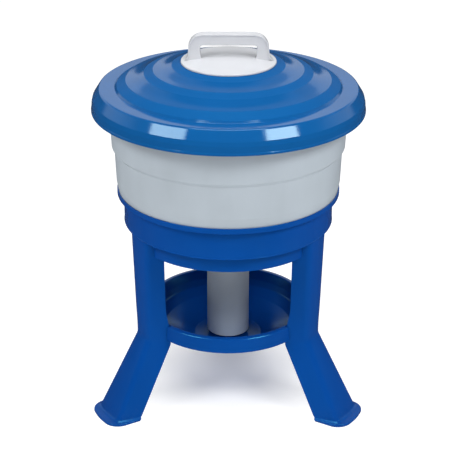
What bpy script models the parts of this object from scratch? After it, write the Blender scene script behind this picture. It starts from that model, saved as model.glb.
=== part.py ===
"""Gravity poultry feeder: a round hopper with a lift-off lid, on a funnel base with three legs and a tray.

Metres, +Z up. The origin is on the ground, at the centre of the object's footprint. The feeder's own
turning axis runs a little in front of it, because one leg points straight back. Outlines of turned
pieces are lists of (radius, height) above the ground, run down the outer side and back up the inner side.
"""

import math

import bmesh
import bpy
from mathutils import Matrix, Vector

MM = 0.001
GAP = 0.3 * MM                      # running gap left between touching pieces

# ---- driving dimensions ---------------------------------------------------------------------------
LID_RADIUS = 210.0 * MM
LID_BOTTOM = 484.7 * MM
LID_WALL = 2.8 * MM
HANDLE_TOP = 601.2 * MM
HOPPER_WALL = 2.8 * MM
HOPPER_TOP = 517.3 * MM
COLLAR_TOP = 356.9 * MM
COLLAR_RADIUS = 174.1 * MM
BAND_RADIUS = 163.9 * MM            # skirt of the base, between the collar and the legs
BAND_BOTTOM = 302.4 * MM
RING_RADIUS = 149.4 * MM            # inner skirt that the legs hook behind
RING_BOTTOM = 275.5 * MM
SPOUT_RADIUS = 30.6 * MM
SPOUT_BOTTOM = 177.0 * MM
TUBE_RADIUS = 33.9 * MM
TUBE_BOTTOM = 103.4 * MM
TUBE_TOP = 229.0 * MM
TRAY_RADIUS = 132.8 * MM
TRAY_BOTTOM = 127.1 * MM            # lower edge of the tray's skirt
TRAY_RIM = 151.4 * MM
TRAY_FLOOR = 95.4 * MM
FOOT_REACH = 237.0 * MM             # outermost point of a foot, from the feeder's axis
LEG_ANGLES = {"left": -150.0, "right": -30.0, "rear": 90.0}

AXIS_Y = (LID_RADIUS - FOOT_REACH) / 2

TURN_STEPS = 40                     # facets round the big turned pieces
SMALL_STEPS = 24
HOLE_STEPS = 10


# ---- materials ------------------------------------------------------------------------------------
def plastic(name, colour, roughness):
    material = bpy.data.materials.new(name)
    material.use_nodes = True
    shader = material.node_tree.nodes["Principled BSDF"]
    shader.inputs["Base Color"].default_value = (*colour, 1.0)
    shader.inputs["Roughness"].default_value = roughness
    shader.inputs["Metallic"].default_value = 0.0
    material.diffuse_color = (*colour, 1.0)
    return material


def steel(name):
    material = plastic(name, (0.55, 0.55, 0.56), 0.3)
    material.node_tree.nodes["Principled BSDF"].inputs["Metallic"].default_value = 1.0
    return material


# ---- mesh helpers ---------------------------------------------------------------------------------
def clear_scene():
    for old in list(bpy.data.objects):
        bpy.data.objects.remove(old, do_unlink=True)


def finish_mesh(bm, name):
    bmesh.ops.recalc_face_normals(bm, faces=bm.faces)
    mesh = bpy.data.meshes.new(name)
    bm.to_mesh(mesh)
    bm.free()
    return mesh


def turned_mesh(name, outline, steps):
    """A closed outline of (radius, height) points spun about Z. Two ends on the axis stay open there."""
    bm = bmesh.new()
    verts = [bm.verts.new((radius, 0, height)) for radius, height in outline]
    pairs = list(zip(verts, verts[1:]))
    if outline[0][0] > 0 or outline[-1][0] > 0:
        pairs.append((verts[-1], verts[0]))
    edges = [bm.edges.new(pair) for pair in pairs]
    bmesh.ops.spin(bm, geom=verts + edges, cent=(0, 0, 0), axis=(0, 0, 1),
                   angle=2 * math.pi, steps=steps, use_merge=True)
    bmesh.ops.remove_doubles(bm, verts=bm.verts, dist=0.001 * MM)
    return finish_mesh(bm, name)


def disc_mesh(name, radius, low, high, steps, centre=(0, 0)):
    """A plain upright cylinder, as a stud, a boss or a cutter."""
    bm = bmesh.new()
    place = Matrix.Translation((centre[0], centre[1], (low + high) / 2))
    bmesh.ops.create_cone(bm, cap_ends=True, segments=steps, radius1=radius, radius2=radius,
                          depth=high - low, matrix=place)
    return finish_mesh(bm, name)


def box_mesh(name, low, high):
    """A block between two opposite corners."""
    bm = bmesh.new()
    size = Vector(high) - Vector(low)
    place = Matrix.Translation((Vector(high) + Vector(low)) / 2) @ Matrix.Diagonal((*size, 1))
    bmesh.ops.create_cube(bm, size=1, matrix=place)
    return finish_mesh(bm, name)


def prism_mesh(name, outline, low, high):
    """A flat outline of (x, y) points made solid between two heights."""
    bm = bmesh.new()
    face = bm.faces.new([bm.verts.new((x, y, low)) for x, y in outline])
    swept = bmesh.ops.extrude_face_region(bm, geom=[face])
    lifted = [item for item in swept["geom"] if isinstance(item, bmesh.types.BMVert)]
    bmesh.ops.translate(bm, verts=lifted, vec=(0, 0, high - low))
    return finish_mesh(bm, name)


def combine(base, others, operation):
    """The base mesh with every other mesh joined to it or cut from it, as one new mesh."""
    result = base
    for other in others:
        body = bpy.data.objects.new("boolean_body", result)
        tool = bpy.data.objects.new("boolean_tool", other)
        for helper in (body, tool):
            bpy.context.scene.collection.objects.link(helper)
        step = body.modifiers.new("combine", "BOOLEAN")
        step.operation = operation
        step.solver = "EXACT"
        step.object = tool
        bpy.context.view_layer.update()
        graph = bpy.context.evaluated_depsgraph_get()
        made = bpy.data.meshes.new_from_object(body.evaluated_get(graph))
        made.name = base.name
        for helper in (body, tool):
            bpy.data.objects.remove(helper, do_unlink=True)
        result = made
    return result


def turned_about_z(mesh, degrees):
    copy = mesh.copy()
    copy.transform(Matrix.Rotation(math.radians(degrees), 4, "Z"))
    return copy


def place(name, mesh, material, parent, height=0.0, angle=0.0, offset=(0.0, 0.0), smooth=True):
    """Puts a mesh in the scene under its parent. Heights are above the ground, angles in degrees."""
    mesh = mesh.copy() if mesh.users else mesh
    mesh.materials.clear()
    mesh.materials.append(material)
    if smooth:
        mesh.shade_smooth()
        mesh.set_sharp_from_angle(angle=math.radians(32))
    piece = bpy.data.objects.new(name, mesh)
    bpy.context.scene.collection.objects.link(piece)
    piece.parent = parent
    piece.location = (offset[0], offset[1], height)
    piece.rotation_euler = (0, 0, math.radians(angle))
    return piece


def on_circle(radius, degrees):
    turn = math.radians(degrees)
    return radius * math.cos(turn), radius * math.sin(turn)


# ---- lid and handle -------------------------------------------------------------------------------
LID_PLATE = 556.5 * MM              # flat top of the lid, under the handle's disc
DISC_RADIUS = 72.5 * MM
DISC_APEX = 565.6 * MM
DISC_WALL = 3.0 * MM
HANDLE_SCREW_CIRCLE = 50.0 * MM
HANDLE_SCREW_ANGLES = (45.0, 135.0, 225.0, 315.0)
SCREW_HOLE = 2.2 * MM
PILOT_HOLE = 2.0 * MM


def lid_mesh():
    """Domed lid in three shallow steps with a flat rim, a sloping shoulder and a short skirt."""
    outer = [
        (0.0, LID_PLATE), (73.2 * MM, LID_PLATE), (86.4 * MM, 552.4 * MM), (114.7 * MM, 546.3 * MM),
        (128.7 * MM, 540.8 * MM), (156.3 * MM, 532.0 * MM), (170.1 * MM, 523.7 * MM),
        (173.6 * MM, 519.7 * MM), (176.0 * MM, 520.1 * MM), (195.5 * MM, 520.4 * MM),
        (198.3 * MM, 518.8 * MM), (207.1 * MM, 504.9 * MM), (208.8 * MM, 498.1 * MM),
        (209.3 * MM, 489.2 * MM), (LID_RADIUS, 487.9 * MM), (LID_RADIUS, LID_BOTTOM),
    ]
    rib_outer = 176.4 * MM
    rib_inner = 174.0 * MM
    rib_bottom = 509.5 * MM
    rim_under = 517.6 * MM
    inner = [
        (207.2 * MM, LID_BOTTOM), (206.2 * MM, 498.1 * MM), (204.4 * MM, 504.2 * MM),
        (196.2 * MM, rim_under), (rib_outer, rim_under), (rib_outer, rib_bottom),
        (rib_inner, rib_bottom), (rib_inner, 516.3 * MM), (168.4 * MM, 521.3 * MM),
        (155.4 * MM, 529.3 * MM), (127.8 * MM, 538.2 * MM), (113.9 * MM, 543.6 * MM),
        (85.8 * MM, 549.7 * MM), (72.6 * MM, LID_PLATE - LID_WALL), (0.0, LID_PLATE - LID_WALL),
    ]
    shell = turned_mesh("lid", outer + inner, TURN_STEPS)
    holes = []
    for angle in HANDLE_SCREW_ANGLES:
        centre = on_circle(HANDLE_SCREW_CIRCLE, angle)
        holes.append(disc_mesh("hole", SCREW_HOLE, 550 * MM, 562 * MM, HOLE_STEPS, centre))
    return combine(shell, holes, "DIFFERENCE")


def dome_height(radius):
    """Top of the handle's disc at a radius: a shallow spherical cap."""
    edge = LID_PLATE + GAP + DISC_WALL - 0.3 * MM
    rise = DISC_APEX - edge
    sphere = (DISC_RADIUS ** 2 + rise ** 2) / (2 * rise)
    return DISC_APEX - sphere + math.sqrt(sphere ** 2 - radius ** 2)


def bridge_outline():
    """Front view of the carrying bridge: an arch with round shoulders and a squarer opening."""
    half_width = 60.0 * MM
    shoulder = 21.0 * MM
    opening = 43.5 * MM
    opening_corner = 3.0 * MM
    opening_top = HANDLE_TOP - 17.0 * MM
    foot = 562.0 * MM
    points = [(-half_width - 1.0 * MM, foot)]
    for step in range(7):
        turn = math.radians(180 - 15 * step)
        points.append((-half_width + shoulder + shoulder * math.cos(turn),
                       HANDLE_TOP - shoulder + shoulder * math.sin(turn)))
    for step in range(7):
        turn = math.radians(90 - 15 * step)
        points.append((half_width - shoulder + shoulder * math.cos(turn),
                       HANDLE_TOP - shoulder + shoulder * math.sin(turn)))
    points.append((half_width + 1.0 * MM, foot))
    points.append((opening - 2.0 * MM, foot))
    points.append((opening, opening_top - opening_corner))
    points.append((opening - opening_corner, opening_top))
    points.append((-opening + opening_corner, opening_top))
    points.append((-opening, opening_top - opening_corner))
    points.append((-opening + 2.0 * MM, foot))
    return points


def lid_handle_mesh():
    """White disc and bridge in one moulding, with four screw bosses underneath."""
    steps = 5
    low = LID_PLATE + GAP
    outer = [(DISC_RADIUS * i / steps, dome_height(DISC_RADIUS * i / steps)) for i in range(steps)]
    outer.append((DISC_RADIUS - 0.6 * MM, dome_height(DISC_RADIUS)))
    outer.append((DISC_RADIUS, low + 1.2 * MM))
    outer.append((DISC_RADIUS, low))
    inside = DISC_RADIUS - DISC_WALL
    inner = [(inside * i / steps, dome_height(inside * i / steps) - DISC_WALL) for i in range(steps)]
    inner.append((inside - 4.0 * MM, low))
    disc = turned_mesh("lid_handle", outer + inner[::-1], SMALL_STEPS)
    depth = 17.4 * MM
    bridge = prism_mesh("bridge", bridge_outline(), -depth / 2, depth / 2)
    bridge.transform(Matrix.Rotation(math.radians(90), 4, "X"))
    bosses = []
    pilots = []
    for angle in HANDLE_SCREW_ANGLES:
        centre = on_circle(HANDLE_SCREW_CIRCLE, angle)
        boss_top = dome_height(HANDLE_SCREW_CIRCLE) - 1.0 * MM
        bosses.append(disc_mesh("boss", 4.5 * MM, low + 0.2 * MM, boss_top, HOLE_STEPS, centre))
        pilots.append(disc_mesh("pilot", PILOT_HOLE, low - 5 * MM, boss_top - 0.8 * MM, HOLE_STEPS, centre))
    solid = combine(disc, [bridge] + bosses, "UNION")
    return combine(solid, pilots, "DIFFERENCE")


# ---- screws ---------------------------------------------------------------------------------------
SHANK_RADIUS = 1.7 * MM
HEAD_RADIUS = 3.8 * MM
HEAD_HEIGHT = 2.4 * MM


def screw_mesh(name, length):
    """Pan-head self-tapping screw. Its seat under the head is at height 0 and its shank hangs down."""
    outline = [
        (0.0, HEAD_HEIGHT), (0.6 * HEAD_RADIUS, HEAD_HEIGHT * 0.92), (HEAD_RADIUS, HEAD_HEIGHT * 0.45),
        (HEAD_RADIUS, 0.0), (SHANK_RADIUS, 0.0), (SHANK_RADIUS, -length + 2.0 * MM), (0.0, -length),
    ]
    return turned_mesh(name, outline, HOLE_STEPS)


# ---- hopper ---------------------------------------------------------------------------------------
def hopper_mesh():
    """Open drum with a rolled top rim and one step in its wall. It narrows towards the collar."""
    shelf = COLLAR_TOP - 6.4 * MM + GAP
    outer = [
        (177.8 * MM, HOPPER_TOP), (183.6 * MM, HOPPER_TOP), (184.4 * MM, 515.6 * MM),
        (184.4 * MM, 512.7 * MM), (180.6 * MM, 510.7 * MM), (179.9 * MM, 453.9 * MM),
        (178.4 * MM, 429.8 * MM), (175.1 * MM, 426.7 * MM), (174.7 * MM, 423.3 * MM),
        (171.5 * MM, 357.0 * MM), (171.3 * MM, shelf),
    ]
    inner = [
        (168.5 * MM, shelf), (168.7 * MM, 357.0 * MM), (171.9 * MM, 424.0 * MM),
        (175.4 * MM, 430.9 * MM), (177.1 * MM, 454.0 * MM),
    ]
    return turned_mesh("hopper", outer + inner, TURN_STEPS)


# ---- base: collar, skirts, funnel and spout -------------------------------------------------------
SHELF_TOP = COLLAR_TOP - 6.4 * MM
SHELF_BOTTOM = SHELF_TOP - 2.5 * MM
FUNNEL_FOOT = 253.0 * MM
LEG_SCREW_RADIUS = 154.3 * MM
LEG_SCREW_SPREAD = 13.0 * MM
TENON_HALF = 20.0 * MM


def hopper_base_mesh():
    """Collar that seats the hopper, outer band and inner ring that grip the legs, funnel and spout."""
    band_inside = BAND_RADIUS - 2.4 * MM
    ring_inside = RING_RADIUS - 2.5 * MM
    spout_inside = SPOUT_RADIUS - 2.2 * MM
    outline = [
        (COLLAR_RADIUS - 2.2 * MM, COLLAR_TOP), (COLLAR_RADIUS - 0.7 * MM, COLLAR_TOP),
        (COLLAR_RADIUS, COLLAR_TOP - 1.2 * MM), (COLLAR_RADIUS, SHELF_BOTTOM + 1.4 * MM),
        (COLLAR_RADIUS - 1.2 * MM, SHELF_BOTTOM), (BAND_RADIUS, SHELF_BOTTOM),
        (BAND_RADIUS, BAND_BOTTOM + 2.0 * MM), (BAND_RADIUS + 0.6 * MM, BAND_BOTTOM + 1.0 * MM),
        (BAND_RADIUS, BAND_BOTTOM), (band_inside, BAND_BOTTOM), (band_inside, SHELF_BOTTOM),
        (RING_RADIUS, SHELF_BOTTOM), (RING_RADIUS, RING_BOTTOM), (ring_inside, RING_BOTTOM),
        (ring_inside, SHELF_BOTTOM - 1.6 * MM), (SPOUT_RADIUS, FUNNEL_FOOT - 2.0 * MM),
        (SPOUT_RADIUS, SPOUT_BOTTOM), (spout_inside, SPOUT_BOTTOM), (spout_inside, FUNNEL_FOOT),
        (ring_inside, SHELF_TOP), (COLLAR_RADIUS - 2.2 * MM, SHELF_TOP),
    ]
    shell = turned_mesh("hopper_base", outline, TURN_STEPS)
    rib = 2.2 * MM
    ribs = []
    holes = []
    for angle in LEG_ANGLES.values():
        for side in (-1, 1):
            near = side * (TENON_HALF + 0.6 * MM)
            far = near + side * rib
            block = box_mesh("rib", (147.6 * MM, min(near, far), BAND_BOTTOM + 4 * MM),
                             (160.6 * MM, max(near, far), SHELF_BOTTOM + 1 * MM))
            ribs.append(turned_about_z(block, angle))
            hole = disc_mesh("hole", SCREW_HOLE, SHELF_BOTTOM - 3 * MM, SHELF_TOP + 3 * MM, HOLE_STEPS,
                             (LEG_SCREW_RADIUS, side * LEG_SCREW_SPREAD))
            holes.append(turned_about_z(hole, angle))
    return combine(combine(shell, ribs, "UNION"), holes, "DIFFERENCE")


# ---- legs -----------------------------------------------------------------------------------------
LEG_WALL = 2.8 * MM
CORNER_CUT = 4.5 * MM
KNEE_HEIGHT = 130.0 * MM            # bend, on the leg's outer face
KNEE_SLOPE = math.tan(math.radians(15.5))
FLANGE_TOP = 4.6 * MM
LEG_SHELF_TOP = 127.6 * MM
TRAY_SCREW_RADIUS = 146.0 * MM


class LegSection:
    """One level of a leg: a channel open towards the feeder's axis, with a rounded nose outwards."""

    def __init__(self, nose, corner, half_nose, edge, half_edge):
        self.nose = nose * MM
        self.corner = corner * MM
        self.half_nose = half_nose * MM
        self.edge = edge * MM
        self.half_edge = half_edge * MM

    def outside(self):
        """(x, y) points from one inner edge round the nose to the other."""
        corner = Vector((self.corner, self.half_nose))
        edge = Vector((self.edge, self.half_edge))
        nose = Vector((self.nose, 0))
        on_side = corner + (edge - corner).normalized() * CORNER_CUT
        on_nose = corner + (nose - corner).normalized() * CORNER_CUT
        round_off = (on_side + 2 * corner + on_nose) / 4
        half = [edge, on_side, round_off, on_nose]
        mirrored = [Vector((point.x, -point.y)) for point in half]
        return half + [nose] + mirrored[::-1]

    def inside(self, wall):
        """The same points moved in by the wall, in the same order."""
        outer = self.outside()
        count = len(outer)
        points = []
        for i, point in enumerate(outer):
            before = outer[max(i - 1, 0)]
            after = outer[min(i + 1, count - 1)]
            along = (after - before).normalized()
            inwards = Vector((along.y, -along.x))
            if inwards.dot(Vector((self.corner - 10 * MM, 0)) - point) < 0:
                inwards = -inwards
            points.append(point + inwards * wall)
        return points


LEG_TOP = LegSection(162.4, 159.4, 26.2, 131.6, 30.9)
LEG_MIDDLE = LegSection(160.3, 156.9, 22.0, 129.0, 28.6)
LEG_GUSSET = LegSection(159.6, 156.0, 20.8, 124.2, 30.6)
LEG_KNEE = LegSection(159.4, 155.9, 20.6, 122.5, 32.2)
LEG_FOOT = LegSection(225.2, 221.4, 33.4, 183.4, 39.5)


def level(height):
    return lambda x: height


def knee_plane(x):
    return KNEE_HEIGHT + KNEE_SLOPE * (x - LEG_KNEE.nose)


def loft_mesh(name, stations):
    """A closed skin through loops of (x, y) points, each lifted by its own height function."""
    bm = bmesh.new()
    rings = []
    for points, height in stations:
        rings.append([bm.verts.new((point.x, point.y, height(point.x))) for point in points])
    for low, high in zip(rings, rings[1:]):
        count = len(low)
        for i in range(count):
            j = (i + 1) % count
            bm.faces.new((low[i], low[j], high[j], high[i]))
    bm.faces.new(rings[0][::-1])
    bm.faces.new(rings[-1])
    bmesh.ops.triangulate(bm, faces=bm.faces)
    return finish_mesh(bm, name)


def channel(section):
    return section.outside() + section.inside(LEG_WALL)[::-1]


def web_mesh(name, section, reach, low, high):
    """A plate across the channel: it fills the section from its nose to `reach` short of its edges."""
    points = [point for point in section.inside(LEG_WALL / 2) if point.x > section.edge + reach]
    return prism_mesh(name, [(point.x, point.y) for point in points], low, high)


def blend(first, second, share):
    """A section part of the way from one section to another."""
    def mix(a, b):
        return (a + (b - a) * share) / MM
    return LegSection(mix(first.nose, second.nose), mix(first.corner, second.corner),
                      mix(first.half_nose, second.half_nose), mix(first.edge, second.edge),
                      mix(first.half_edge, second.half_edge))


def foot_outline():
    """Plan of the foot flange: straight sides, round outer corners and a slightly bowed end."""
    inner = 183.5 * MM
    half = 41.0 * MM
    corner = 25.0 * MM
    bow = 1.3 * MM
    points = [(inner, -half + 1.0 * MM), (inner, half - 1.0 * MM)]
    for step in range(7):
        turn = math.radians(90 - 15 * step)
        points.append((FOOT_REACH - bow - corner + corner * math.cos(turn),
                       half - corner + corner * math.sin(turn)))
    points.append((FOOT_REACH, 0.0))
    for step in range(7):
        turn = math.radians(-15 * step)
        points.append((FOOT_REACH - bow - corner + corner * math.cos(turn),
                       -half + corner + corner * math.sin(turn)))
    return points


def leg_mesh():
    """Leg pointing along +X: tenon, upright channel, knee, splayed channel and foot flange."""
    top = BAND_BOTTOM - GAP
    stations = [
        (channel(LEG_FOOT), level(FLANGE_TOP - 2 * MM)),
        (channel(LEG_KNEE), knee_plane),
        (channel(LEG_GUSSET), level(151.0 * MM)),
        (channel(LEG_MIDDLE), level(176.0 * MM)),
        (channel(LEG_TOP), level(top)),
    ]
    shell = loft_mesh("leg", stations)
    cap = web_mesh("cap", LEG_TOP, 4 * MM, top - LEG_WALL, top)
    tenon = box_mesh("tenon", (150.0 * MM, -TENON_HALF, top - 2 * MM),
                     (158.4 * MM, TENON_HALF, SHELF_BOTTOM - GAP))
    shelf = web_mesh("shelf", LEG_KNEE, 14 * MM, LEG_SHELF_TOP - 3 * MM, LEG_SHELF_TOP)
    flange = prism_mesh("flange", foot_outline(), 0.0, FLANGE_TOP)
    webs = []
    for share in (0.36, 0.68):
        section = blend(LEG_KNEE, LEG_FOOT, share)
        height = KNEE_HEIGHT + (FLANGE_TOP - KNEE_HEIGHT) * share - 6 * MM
        webs.append(web_mesh("web", section, 8 * MM, height, height + 2.4 * MM))
    upper_web = web_mesh("upper_web", blend(LEG_MIDDLE, LEG_TOP, 0.5), 8 * MM, 238 * MM, 240.4 * MM)
    solid = combine(shell, [cap, tenon, shelf, flange, upper_web] + webs, "UNION")
    behind_ring = disc_mesh("behind_ring", RING_RADIUS + 0.7 * MM, RING_BOTTOM - 0.5 * MM,
                            SHELF_TOP, 60)
    tray_slot = disc_mesh("tray_slot", TRAY_RADIUS + 1.1 * MM, TRAY_BOTTOM - 0.5 * MM,
                          TRAY_RIM + 0.6 * MM, 60)
    shelf_hole = disc_mesh("shelf_hole", SCREW_HOLE, 100 * MM, 135 * MM, HOLE_STEPS,
                           (TRAY_SCREW_RADIUS, 0))
    pilots = []
    for side in (-1, 1):
        pilots.append(disc_mesh("pilot", PILOT_HOLE, SHELF_BOTTOM - 14 * MM, SHELF_TOP, HOLE_STEPS,
                                (LEG_SCREW_RADIUS, side * LEG_SCREW_SPREAD)))
    return combine(solid, [behind_ring, tray_slot, shelf_hole] + pilots, "DIFFERENCE")


# ---- tray and feed tube ---------------------------------------------------------------------------
LUG_BOTTOM = LEG_SHELF_TOP + GAP


def tray_mesh():
    """Round feed pan: rolled rim, outer skirt, sloping dish, and a cone that spreads the feed."""
    wall = 2.4 * MM
    outline = [
        (0.0, 113.3 * MM), (7.0 * MM, 110.8 * MM), (24.0 * MM, TRAY_FLOOR + 1 * MM),
        (28.0 * MM, TRAY_FLOOR), (54.0 * MM, TRAY_FLOOR), (100.7 * MM, 113.7 * MM),
        (115.2 * MM, 124.8 * MM), (119.7 * MM, 134.8 * MM), (122.5 * MM, 149.9 * MM),
        (124.1 * MM, TRAY_RIM), (127.1 * MM, TRAY_RIM - 0.6 * MM), (130.1 * MM, TRAY_RIM - 0.8 * MM),
        (131.6 * MM, 149.1 * MM), (132.2 * MM, 140.9 * MM), (TRAY_RADIUS, TRAY_BOTTOM),
        (TRAY_RADIUS - wall, TRAY_BOTTOM), (129.6 * MM, 140.9 * MM), (129.0 * MM, 148.1 * MM),
        (125.3 * MM, 148.5 * MM), (122.3 * MM, 134.8 * MM), (117.3 * MM, 123.4 * MM),
        (101.9 * MM, 111.5 * MM), (54.6 * MM, TRAY_FLOOR - wall), (28.0 * MM, TRAY_FLOOR - wall),
        (22.0 * MM, TRAY_FLOOR - 1.6 * MM), (6.0 * MM, 107.9 * MM), (0.0, 110.3 * MM),
    ]
    pan = turned_mesh("tray", outline, TURN_STEPS)
    lugs = []
    pilots = []
    for angle in LEG_ANGLES.values():
        tab = box_mesh("tab", (130.4 * MM, -8 * MM, LUG_BOTTOM), (153.0 * MM, 8 * MM, LUG_BOTTOM + 3 * MM))
        boss = disc_mesh("boss", 5 * MM, LUG_BOTTOM + 1 * MM, LUG_BOTTOM + 13 * MM, HOLE_STEPS,
                         (TRAY_SCREW_RADIUS, 0))
        pilot = disc_mesh("pilot", PILOT_HOLE, LUG_BOTTOM - 5 * MM, LUG_BOTTOM + 11.5 * MM, HOLE_STEPS,
                          (TRAY_SCREW_RADIUS, 0))
        lugs += [turned_about_z(tab, angle), turned_about_z(boss, angle)]
        pilots.append(turned_about_z(pilot, angle))
    return combine(combine(pan, lugs, "UNION"), pilots, "DIFFERENCE")


def feed_tube_mesh():
    """Sleeve that slides on the spout and sets how much feed runs out under its lower edge."""
    inside = TUBE_RADIUS - 2.2 * MM
    lip = 35.5 * MM
    lip_bottom = 212.5 * MM
    outline = [
        (inside, TUBE_TOP), (lip - 0.6 * MM, TUBE_TOP), (lip, TUBE_TOP - 0.8 * MM),
        (lip, lip_bottom + 0.6 * MM), (TUBE_RADIUS, lip_bottom), (TUBE_RADIUS, TUBE_BOTTOM + 0.8 * MM),
        (TUBE_RADIUS - 0.6 * MM, TUBE_BOTTOM), (inside, TUBE_BOTTOM),
    ]
    return turned_mesh("feed_tube", outline, SMALL_STEPS)


# ---- assembly -------------------------------------------------------------------------------------
def shifted(mesh, height):
    """Moves a mesh drawn at its height above the ground down to its object's own origin."""
    mesh.transform(Matrix.Translation((0, 0, -height)))
    return mesh


def main():
    clear_scene()
    blue = plastic("blue_gloss_plastic", (0.008, 0.105, 0.42), 0.22)
    grey = plastic("grey_plastic", (0.50, 0.56, 0.62), 0.42)
    white = plastic("white_plastic", (0.86, 0.87, 0.88), 0.3)
    zinc = steel("zinc_plated_steel")

    axis = bpy.data.objects.new("feeder_axis", None)
    bpy.context.scene.collection.objects.link(axis)
    axis.location = (0, AXIS_Y, 0)

    place("hopper_base", shifted(hopper_base_mesh(), BAND_BOTTOM), blue, axis, BAND_BOTTOM)
    place("hopper", shifted(hopper_mesh(), SHELF_TOP), grey, axis, SHELF_TOP)
    place("lid", shifted(lid_mesh(), LID_BOTTOM), blue, axis, LID_BOTTOM)
    place("lid_handle", shifted(lid_handle_mesh(), LID_PLATE), white, axis, LID_PLATE)
    place("tray", shifted(tray_mesh(), TRAY_BOTTOM), blue, axis, TRAY_BOTTOM)
    place("feed_tube", shifted(feed_tube_mesh(), TUBE_BOTTOM), grey, axis, TUBE_BOTTOM)

    leg = leg_mesh()
    leg_screw = screw_mesh("leg_screw", 13 * MM)
    tray_screw = screw_mesh("tray_screw", 12 * MM)
    tray_screw.transform(Matrix.Rotation(math.pi, 4, "X"))
    for name, angle in LEG_ANGLES.items():
        place("leg_" + name, leg, blue, axis, angle=angle)
        for number, side in enumerate((-1, 1), 1):
            turn = math.radians(angle)
            spread = side * LEG_SCREW_SPREAD
            at = (LEG_SCREW_RADIUS * math.cos(turn) - spread * math.sin(turn),
                  LEG_SCREW_RADIUS * math.sin(turn) + spread * math.cos(turn))
            place(f"leg_screw_{name}_{number}", leg_screw, zinc, axis, SHELF_TOP + GAP, offset=at)
        place("tray_screw_" + name, tray_screw, zinc, axis, LEG_SHELF_TOP - 3 * MM - GAP,
              offset=on_circle(TRAY_SCREW_RADIUS, angle))

    handle_screw = screw_mesh("handle_screw", 6.6 * MM)
    handle_screw.transform(Matrix.Rotation(math.pi, 4, "X"))
    for number, angle in enumerate(HANDLE_SCREW_ANGLES, 1):
        place(f"handle_screw_{number}", handle_screw, zinc, axis, LID_PLATE - LID_WALL - GAP,
              offset=on_circle(HANDLE_SCREW_CIRCLE, angle))


main()
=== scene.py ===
"""Looks of a gravity poultry feeder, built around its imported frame.

Metres, +Z up. Every piece is drawn round the feeder's own turning axis and then set on it, so heights are
above the ground and radii are from that axis. Outlines hold (radius, height, fillet) in millimetres.
"""

import math

import bmesh
import bpy
from mathutils import Euler, Matrix, Vector


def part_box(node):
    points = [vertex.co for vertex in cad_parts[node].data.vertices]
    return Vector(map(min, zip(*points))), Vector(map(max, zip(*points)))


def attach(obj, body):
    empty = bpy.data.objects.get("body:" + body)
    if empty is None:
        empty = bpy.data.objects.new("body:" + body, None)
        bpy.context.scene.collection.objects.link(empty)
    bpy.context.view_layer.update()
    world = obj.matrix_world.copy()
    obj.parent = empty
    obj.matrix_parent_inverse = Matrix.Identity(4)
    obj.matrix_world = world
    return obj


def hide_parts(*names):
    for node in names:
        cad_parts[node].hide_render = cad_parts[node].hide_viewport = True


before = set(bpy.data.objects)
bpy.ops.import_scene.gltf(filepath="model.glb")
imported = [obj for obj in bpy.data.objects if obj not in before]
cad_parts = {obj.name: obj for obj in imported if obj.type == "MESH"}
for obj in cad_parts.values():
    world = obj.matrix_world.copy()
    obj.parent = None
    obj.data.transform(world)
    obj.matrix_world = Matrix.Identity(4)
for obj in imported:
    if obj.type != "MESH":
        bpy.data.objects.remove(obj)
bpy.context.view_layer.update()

MM = 0.001


# ---- measures read from the frame -----------------------------------------------------------------
def middle_of(node):
    low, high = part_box(node)
    return (low + high) / 2


def radius_of(node):
    low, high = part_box(node)
    return (high.x - low.x) / 2 / MM


def bottom_of(node):
    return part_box(node)[0].z / MM


def top_of(node):
    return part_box(node)[1].z / MM


AXIS = Vector((middle_of("lid").x, middle_of("lid").y, 0.0))
LID_RADIUS = radius_of("lid")
LID_BOTTOM = bottom_of("lid")
LID_PLATE = top_of("lid")                       # flat top of the lid, under the handle's disc
DISC_RADIUS = radius_of("lid_handle")
HANDLE_TOP = top_of("lid_handle")
HOPPER_TOP = top_of("hopper")
SHELF_TOP = bottom_of("hopper") - 0.3
SHELF_BOTTOM = SHELF_TOP - 2.5
COLLAR_RADIUS = radius_of("hopper_base")
COLLAR_TOP = top_of("hopper_base")
SPOUT_BOTTOM = bottom_of("hopper_base")
TUBE_LIP = radius_of("feed_tube")
TUBE_TOP = top_of("feed_tube")
TUBE_BOTTOM = bottom_of("feed_tube")
FOOT_REACH = (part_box("leg_rear")[1].y - AXIS.y) / MM
LEG_ANGLES = {"left": -150.0, "right": -30.0, "rear": 90.0}

BAND_RADIUS = 163.9
BAND_BOTTOM = 302.4
RING_RADIUS = 149.4
RING_BOTTOM = 275.5
TRAY_RADIUS = 132.8
TRAY_RIM = 151.4
TRAY_BOTTOM = 127.1
TRAY_FLOOR = 95.4
TUBE_RADIUS = 33.9

TURN_STEPS = 180                                # sides of the large turned pieces
SMALL_STEPS = 120                               # sides of the disc and the tube
HOLE_STEPS = 28
SCREW_STEPS = 32
MERGE_DISTANCE = 0.002                          # millimetres, between two points that count as one
SOLE_EDGE_TURNS = (0, 30, 60, 90)


# ---- mesh helpers ---------------------------------------------------------------------------------
def corner_arc(before, corner, after, fillet, steps=5, limit=0.45):
    """Points round a corner, tangent to both of its sides, within a limiting share of each."""
    back = before - corner
    on = after - corner
    turn = math.pi - back.angle(on)
    reach = min(fillet * math.tan(turn / 2), limit * back.length, limit * on.length)
    if reach < 0.01:
        return [corner]
    start = corner + back.normalized() * reach
    end = corner + on.normalized() * reach
    shares = [i / steps for i in range(steps + 1)]
    return [start.lerp(corner, s).lerp(corner.lerp(end, s), s) for s in shares]


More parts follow.
